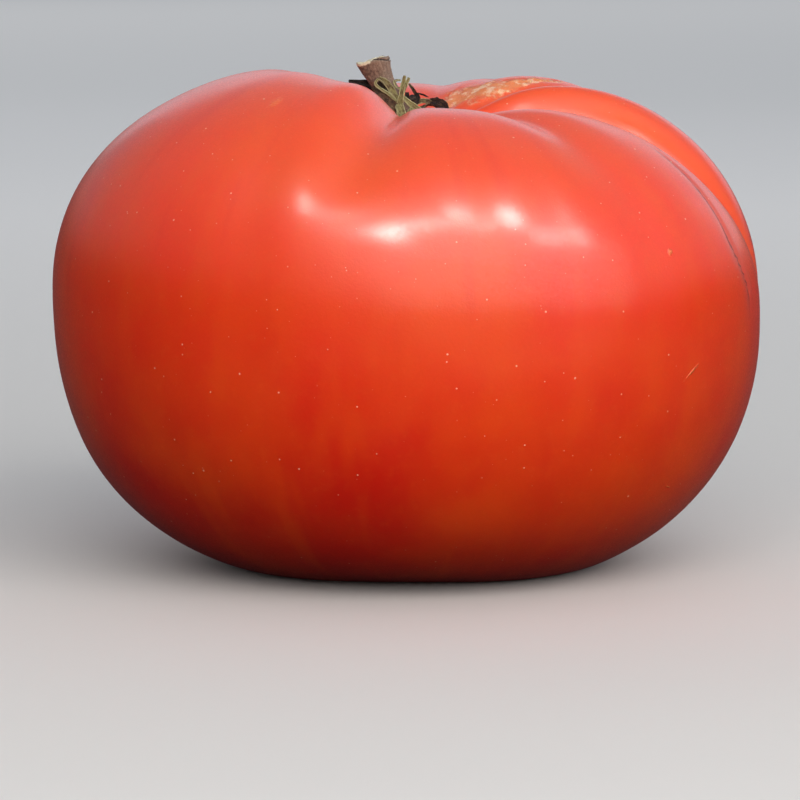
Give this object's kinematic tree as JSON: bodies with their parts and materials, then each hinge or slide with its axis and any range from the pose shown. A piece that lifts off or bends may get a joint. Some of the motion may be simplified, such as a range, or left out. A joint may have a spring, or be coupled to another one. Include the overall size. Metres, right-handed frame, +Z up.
{
  "type": "ribbed slicing tomato",
  "caption": "Ripe ribbed slicing tomato as picked: a broad lobed fruit with a deep shoulder crease, a withered calyx in its hollow and a dry stub of stem.",
  "frame": {"origin": "centre of the object's box, on the surface that the tomato stands on", "axes": "+Z up from the blossom end towards the stem, -Y towards the side that shows the stem hollow's lowest rim, +X towards the shoulder with the deep crease"},
  "size_m": [0.102, 0.096, 0.074],
  "materials": {
    "fruit_skin": "thin waxy skin with a soft shine, red orange, with a pale corky scar on one back shoulder",
    "dry_sepal": "withered leaf, dull, olive at the root and nearly black at the tip",
    "dry_stem": "dry fibrous stalk, dull grey brown, with a paler broken end"
  },
  "bodies": {
    "root": {"fruit": "fruit_skin", "calyx": "dry_sepal", "stem": "dry_stem"}
  },
  "joints": []
}
